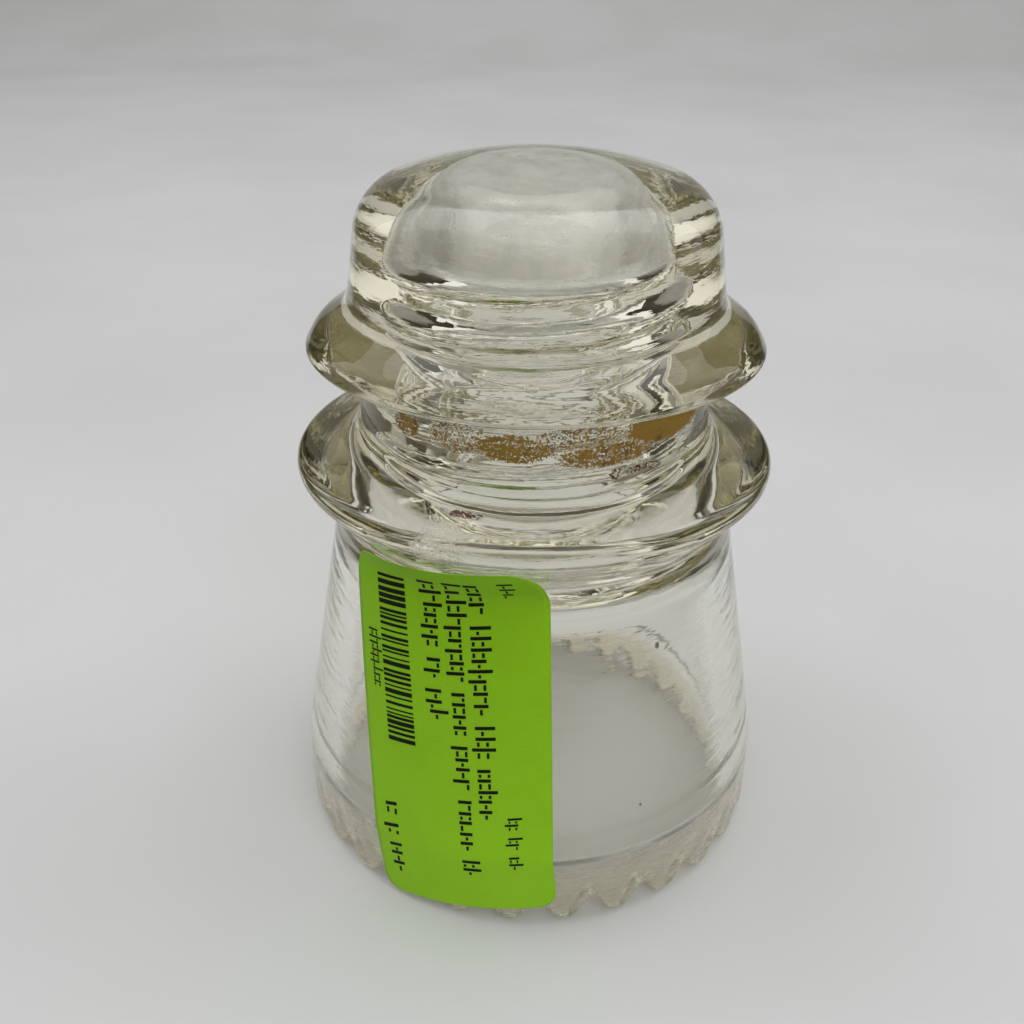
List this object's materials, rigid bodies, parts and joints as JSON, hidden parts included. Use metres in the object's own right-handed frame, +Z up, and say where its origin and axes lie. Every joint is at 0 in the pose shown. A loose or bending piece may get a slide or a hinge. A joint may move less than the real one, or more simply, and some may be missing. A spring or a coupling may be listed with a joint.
{
  "type": "fence insulator",
  "caption": "Clear pressed-glass pin-type wire insulator with two wire ridges, a thin bell skirt, drip points and a blind threaded pinhole, with a printed paper price label",
  "frame": {"origin": "on the turning axis, at the plane the drip points stand on", "axes": "+Z up along the turning axis and the pinhole, +Y away from the front, +X to the right when the labelled side faces the viewer"},
  "size_m": [0.0726, 0.0728, 0.1016],
  "materials": {
    "clear_glass": "smooth pressed glass with a faint straw tint",
    "green_paper": "matt coated paper, bright green with black print"
  },
  "bodies": {
    "root": {"glass_body": "clear_glass", "price_label": "green_paper"}
  },
  "joints": []
}
